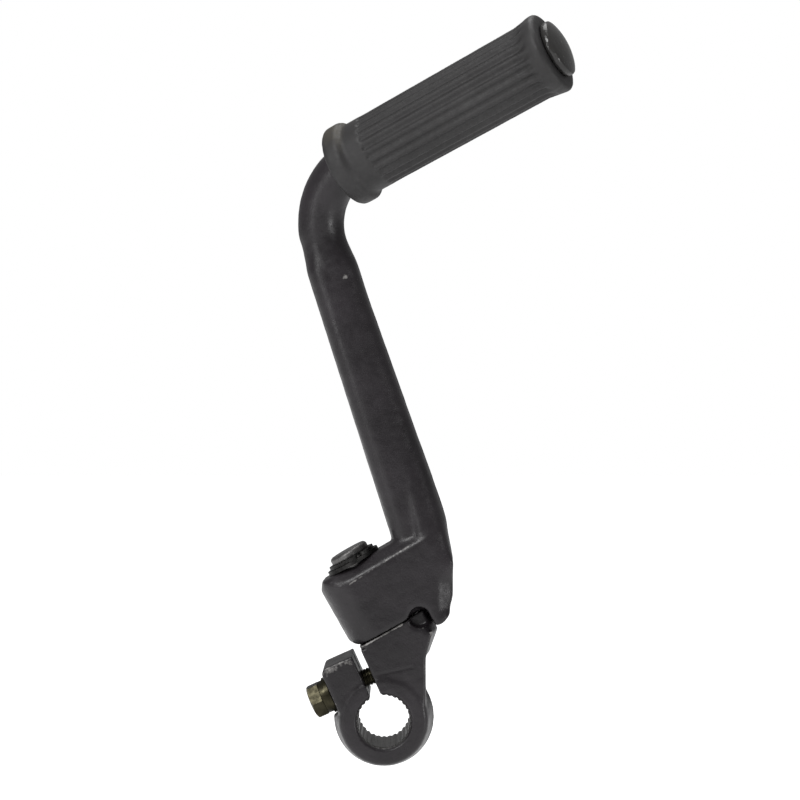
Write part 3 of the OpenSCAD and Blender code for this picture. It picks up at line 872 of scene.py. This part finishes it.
class KICK_OT_arm(bpy.types.Operator):
    """Forged arm with its knuckle, bend, pedal bar and head"""
    bl_idname = "kick.arm"
    bl_label = "Forged arm"

    def execute(self, context):
        shape = context.scene.kick_shape
        mesh = remeshed("kick_arm", shape.arm_voxel)
        points = points_of(mesh)
        post = in_frame(points, POST_FRAME)
        head = ramp(in_frame(points, BAR_FRAME)[:, 2], *HEAD_START)
        weight = ramp(around(post), *KNUCKLE_TO_SKIN) * (1 - HEAD_HOLD * head)
        arm = in_frame(points, ARM_FRAME)
        side = ramp(post[:, 2], *SIDE_MELT_FOOT) * fade(arm[:, 2], *SIDE_MELT_TOP)
        side *= ramp(arm[:, 0], *SIDE_MELT_WIDTH)
        bend = in_frame(points, BEND_FRAME)
        foot = ramp(bend[:, 2], *BEND_MELT_START) * fade(bend[:, 2], *BEND_MELT_END)
        foot *= fade(bend[:, 0], *BEND_MELT_WIDTH)
        self.flatten(mesh)

        def relief(at, normals):
            ridge = shape.ridge * fade(abs(normals[:, 1]), 0.3, 0.7)
            ridge *= bell(at[:, 1], ARM_RIDGE_W) * fade(at[:, 2], *RIDGE_TOP)
            return ridge * ramp(around(in_frame(at, POST_FRAME)), *RIDGE_FROM_POST)

        def bare(at, normals):
            return BARE_SHARE * fade(around(in_frame(at, POST_FRAME)), *BARE_KNUCKLE)

        def gloss(at, normals):
            return ramp(in_frame(at, BAR_FRAME)[:, 2], *GLOSS_START)

        forge(mesh, weight, shape.arm_rounding, ARM_GRAIN, seed=11.0, edge_depth=ARM_EDGE_DEPTH,
              relief=relief, bare=bare, gloss=gloss, wear_and_highlight=self.wear_and_highlight,
              melt=np.maximum(side, foot))
        add_piece("forged_arm", mesh, "lever", "forged_black", ["kick_arm"])
        return {"FINISHED"}

    def wear_and_highlight(self, at, normals):
        """Painted highlight line along the front edge of the knuckle's top, and a worn chip high on
        the arm.
        """
        line = HIGHLIGHT_STRENGTH * bell(from_line(at, HIGHLIGHT_LINE), HIGHLIGHT_WIDTH)
        chip = CHIP_WEAR * bell(from_spot(at, CHIP), CHIP_RADIUS)
        return np.maximum(line, chip) * facing(normals, 0.1, 0.4)

    def flatten(self, mesh):
        """Flat on the knuckle's right front corner, fading out above and below."""
        points = points_of(mesh)
        height = points[:, 2]
        lift = FLAT_LIFT * (ramp(height, *FLAT_TOP) + fade(height, *FLAT_FOOT))
        over = FLAT_X * points[:, 0] + FLAT_Y * points[:, 1] - FLAT_OFFSET - lift
        over = np.maximum(over, 0) * (height < FLAT_LIMIT)
        points[:, 0] -= FLAT_X * over
        points[:, 1] -= FLAT_Y * over
        move_points(mesh, points)


class KICK_OT_rubber(bpy.types.Operator):
    """Pedal rubber with soft ribs and flanges"""
    bl_idname = "kick.rubber"
    bl_label = "Pedal rubber"

    def execute(self, context):
        mesh = remeshed("pedal_rubber", context.scene.kick_shape.rubber_voxel)
        along = in_frame(points_of(mesh), BAR_FRAME)[:, 2] + RUBBER_REACH
        self.run_out(mesh)
        flanges = np.maximum(fade(along, *INNER_FLANGE_END), ramp(along, *OUTER_SKIN))
        weight = RIB_WEIGHT + (1 - RIB_WEIGHT) * flanges
        forge(mesh, weight, RUBBER_STEPS, RUBBER_GRAIN, seed=23.0, edge_depth=RUBBER_RUB_DEPTH)
        store(mesh, "dirt", fade(along, *DIRT_END) * ramp(normals_of(mesh)[:, 2], 0.15, 0.7))
        add_piece("ribbed_rubber", mesh, "lever", "aged_rubber", ["pedal_rubber"])
        return {"FINISHED"}

    def run_out(self, mesh):
        """Carries the grooves between the ribs on, up the slope of the outer flange."""
        local = in_frame(points_of(mesh), BAR_FRAME)
        past = local[:, 2] + RUBBER_REACH - RUN_OUT_START
        radius = around(local)
        step = 2 * math.pi / RIB_COUNT
        off = (np.arctan2(local[:, 1], local[:, 0]) + step / 2) % step - step / 2
        depth = np.sqrt(np.maximum(GROOVE_R ** 2 - (RUBBER_R * np.sin(off)) ** 2, 0))
        limit = RUBBER_R + OUTER_SLOPE * np.maximum(past, 0) - depth * fade(past, *RUN_OUT_FADE)
        held = (past > -RUN_OUT_BACK) & (past < RUN_OUT_FADE[1])
        held &= radius > GROOVE_BOTTOM
        scale = np.where(held, np.minimum(limit / np.maximum(radius, MM), 1), 1)
        local[:, :2] *= scale[:, None]
        forward = np.array(BAR_FRAME)
        move_points(mesh, local @ forward[:3, :3].T + forward[:3, 3])


class KICK_OT_bolt(bpy.types.Operator):
    """Pinch bolt with its hexagon head and thread, and its two washers"""
    bl_idname = "kick.bolt"
    bl_label = "Pinch bolt"

    def execute(self, context):
        low = -UNDER_HEAD - BOLT_HEAD
        end = BOLT_LENGTH - UNDER_HEAD
        face_r = HEAD_FACE * BOLT_FLATS
        angles = [2 * math.pi * j / RING_POINTS for j in range(RING_POINTS)]

        def round_ring(radius, height):
            return [(radius * math.cos(a), radius * math.sin(a), height) for a in angles]

        def head_ring(height, grow=1.0):
            """Hexagon whose corners are cut back by the chamfer under the face."""
            ring = []
            for a in angles:
                radius = BOLT_FLATS / 2 / math.cos((a + math.pi / 6) % (math.pi / 3) - math.pi / 6)
                chamfer = low + (radius - face_r) / HEAD_SLOPE
                ring.append((radius * grow * math.cos(a), radius * grow * math.sin(a),
                             max(height, chamfer)))
            return ring

        mesh = lofted("pinch_bolt_body", [
            *(round_ring(face_r * share, low + rise) for share, rise in FACE_RINGS),
            head_ring(low),
            head_ring(-UNDER_HEAD - HEAD_CORNER),
            head_ring(-UNDER_HEAD, HEAD_UNDERSIDE),
            round_ring(SHANK_R, -UNDER_HEAD),
            round_ring(SHANK_R, SHANK_END),
            round_ring(CORE_R, CORE_START),
            round_ring(CORE_R, end - TIP_CHAMFER),
            round_ring(CORE_R - TIP_CHAMFER, end)])
        mesh.transform(BOLT_FRAME)
        add_piece("threaded_bolt", mesh, "clamp", "yellow_zinc", ["pinch_bolt"],
                  smooth=False)
        self.thread(end - THREAD_SHORT - THREAD_START, context.scene.kick_shape.thread_pitch)
        for name in ("plain_washer", "lock_washer"):
            paint(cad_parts[name], "yellow_zinc")
        return {"FINISHED"}

    def thread(self, length, pitch):
        """Helical ridge of the thread, swept along a spiral."""
        tree, given, out = geometry_tree("bolt_thread", [
            ("Radius", "NodeSocketFloat", 0.003), ("Height", "NodeSocketFloat", 0.01),
            ("Turns", "NodeSocketFloat", 8.0), ("Ridge", "NodeSocketFloat", 0.0004)])
        spiral = node(tree, "GeometryNodeCurveSpiral", Resolution=36)
        for label, key in (("Rotations", "Turns"), ("Start Radius", "Radius"),
                           ("End Radius", "Radius"), ("Height", "Height")):
            tree.links.new(given[key], spiral.inputs[label])
        profile = node(tree, "GeometryNodeCurvePrimitiveCircle", mode="RADIUS", Resolution=4)
        tree.links.new(given["Ridge"], profile.inputs["Radius"])
        sweep = node(tree, "GeometryNodeCurveToMesh")
        sweep.inputs["Fill Caps"].default_value = True
        tree.links.new(spiral.outputs[0], sweep.inputs["Curve"])
        tree.links.new(profile.outputs[0], sweep.inputs["Profile Curve"])
        finish_tree(tree, sweep.outputs[0], out, "yellow_zinc")
        mesh = mesh_from_tree(tree, {
            "Radius": CORE_R - THREAD_SUNK, "Height": length, "Turns": length / pitch,
            "Ridge": THREAD_RIDGE})
        mesh.transform(BOLT_FRAME @ Matrix.Translation((0, 0, THREAD_START)))
        add_piece("bolt_thread", mesh, "clamp", "yellow_zinc")


class KICK_OT_pivot(bpy.types.Operator):
    """Washer, retaining ring and detent on the pivot post"""
    bl_idname = "kick.pivot"
    bl_label = "Pivot pieces"

    def execute(self, context):
        for name, finish in (("pivot_washer", "dull_steel"), ("retaining_ring", "dull_steel"),
                             ("detent_ball", "plain_steel"), ("detent_spring", "plain_steel")):
            paint(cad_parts[name], finish)
        return {"FINISHED"}


class KICK_OT_stage(bpy.types.Operator):
    """Camera, floor, lights and white surroundings"""
    bl_idname = "kick.stage"
    bl_label = "Stage"

    def execute(self, context):
        scene = context.scene
        stage = scene.kick_stage
        camera = bpy.data.cameras.new("camera")
        camera.sensor_width = SENSOR
        camera.lens = LENS
        camera.clip_start = 0.01
        view = bpy.data.objects.new("camera", camera)
        view.location = CAMERA_PLACE
        view.rotation_euler = (math.pi / 2, 0, 0)
        scene.collection.objects.link(view)
        scene.camera = view
        self.floor(scene, stage.floor_z)
        for name, spot, size in LAMPS:
            lamp = bpy.data.lights.new(name, "AREA")
            lamp.shape = "DISK"
            lamp.size = size
            lamp.energy = getattr(stage, name + "_power")
            obj = bpy.data.objects.new(name, lamp)
            obj.location = spot
            obj.rotation_euler = (Vector(spot) - LIT_POINT).to_track_quat("Z", "Y").to_euler()
            scene.collection.objects.link(obj)
        self.surroundings(scene, stage.world)
        scene.view_settings.view_transform = "Standard"
        return {"FINISHED"}

    def floor(self, scene, height):
        """Pale floor that camera and transmission rays see as white, and glossy rays as grey."""
        mesh = bpy.data.meshes.new("floor")
        corners = [(-1, -1), (1, -1), (1, 1), (-1, 1)]
        mesh.from_pydata([(x * FLOOR_HALF, y * FLOOR_HALF, height) for x, y in corners],
                         [], [(0, 1, 2, 3)])
        obj = bpy.data.objects.new("floor", mesh)
        scene.collection.objects.link(obj)
        made = bpy.data.materials.new("pale_floor")
        made.use_nodes = True
        tree = made.node_tree
        tree.nodes.clear()
        matte = node(tree, "ShaderNodeBsdfDiffuse", Color=FLOOR_TONE)
        glow = node(tree, "ShaderNodeEmission", Color=WHITE)
        path = node(tree, "ShaderNodeLightPath").outputs
        seen = calc(tree, "MAXIMUM", path["Is Camera Ray"], path["Is Transmission Ray"])
        glossy = calc(tree, "MULTIPLY", path["Is Glossy Ray"], FLOOR_GLOSSY_SHARE)
        seen = calc(tree, "MAXIMUM", seen, glossy)
        tree.links.new(calc(tree, "MULTIPLY", seen, FLOOR_GLOW), glow.inputs["Strength"])
        both = tree.nodes.new("ShaderNodeAddShader")
        out = tree.nodes.new("ShaderNodeOutputMaterial")
        tree.links.new(matte.outputs[0], both.inputs[0])
        tree.links.new(glow.outputs[0], both.inputs[1])
        tree.links.new(both.outputs[0], out.inputs["Surface"])
        mesh.materials.append(made)

    def surroundings(self, scene, strength):
        """World that the camera sees as white, and that lights the part more softly."""
        world = bpy.data.worlds.new("white_room")
        scene.world = world
        world.use_nodes = True
        tree = world.node_tree
        tree.nodes.clear()
        back = node(tree, "ShaderNodeBackground", Color=WHITE)
        seen = node(tree, "ShaderNodeLightPath").outputs["Is Camera Ray"]
        tree.links.new(mix_value(tree, seen, strength, 1.0), back.inputs["Strength"])
        out = tree.nodes.new("ShaderNodeOutputWorld")
        tree.links.new(back.outputs[0], out.inputs["Surface"])


class KICK_PT_panel(bpy.types.Panel):
    """Settings and steps of the kick start lever"""
    bl_idname = "KICK_PT_panel"
    bl_label = "Kick start lever"
    bl_space_type = "VIEW_3D"
    bl_region_type = "UI"
    bl_category = "Kick lever"

    def draw(self, context):
        for name, _ in GROUPS:
            owner = getattr(context.scene, name)
            box = self.layout.box()
            for key in owner.__annotations__:
                box.prop(owner, key)
        for operator in OPERATORS:
            self.layout.operator(operator.bl_idname)


OPERATORS = (KICK_OT_clamp, KICK_OT_arm, KICK_OT_rubber, KICK_OT_bolt, KICK_OT_pivot,
             KICK_OT_stage)
GROUPS = (("kick_looks", KICK_PG_looks), ("kick_shape", KICK_PG_shape),
          ("kick_stage", KICK_PG_stage))


def register():
    for name, kind in GROUPS:
        bpy.utils.register_class(kind)
        setattr(bpy.types.Scene, name, bpy.props.PointerProperty(type=kind))
    for kind in (*OPERATORS, KICK_PT_panel):
        bpy.utils.register_class(kind)


def unregister():
    for kind in (KICK_PT_panel, *reversed(OPERATORS)):
        bpy.utils.unregister_class(kind)
    for name, kind in reversed(GROUPS):
        delattr(bpy.types.Scene, name)
        bpy.utils.unregister_class(kind)


def main():
    register()
    bpy.ops.kick.clamp()
    bpy.ops.kick.arm()
    bpy.ops.kick.rubber()
    bpy.ops.kick.bolt()
    bpy.ops.kick.pivot()
    bpy.ops.kick.stage()


if __name__ == "__main__":
    main()
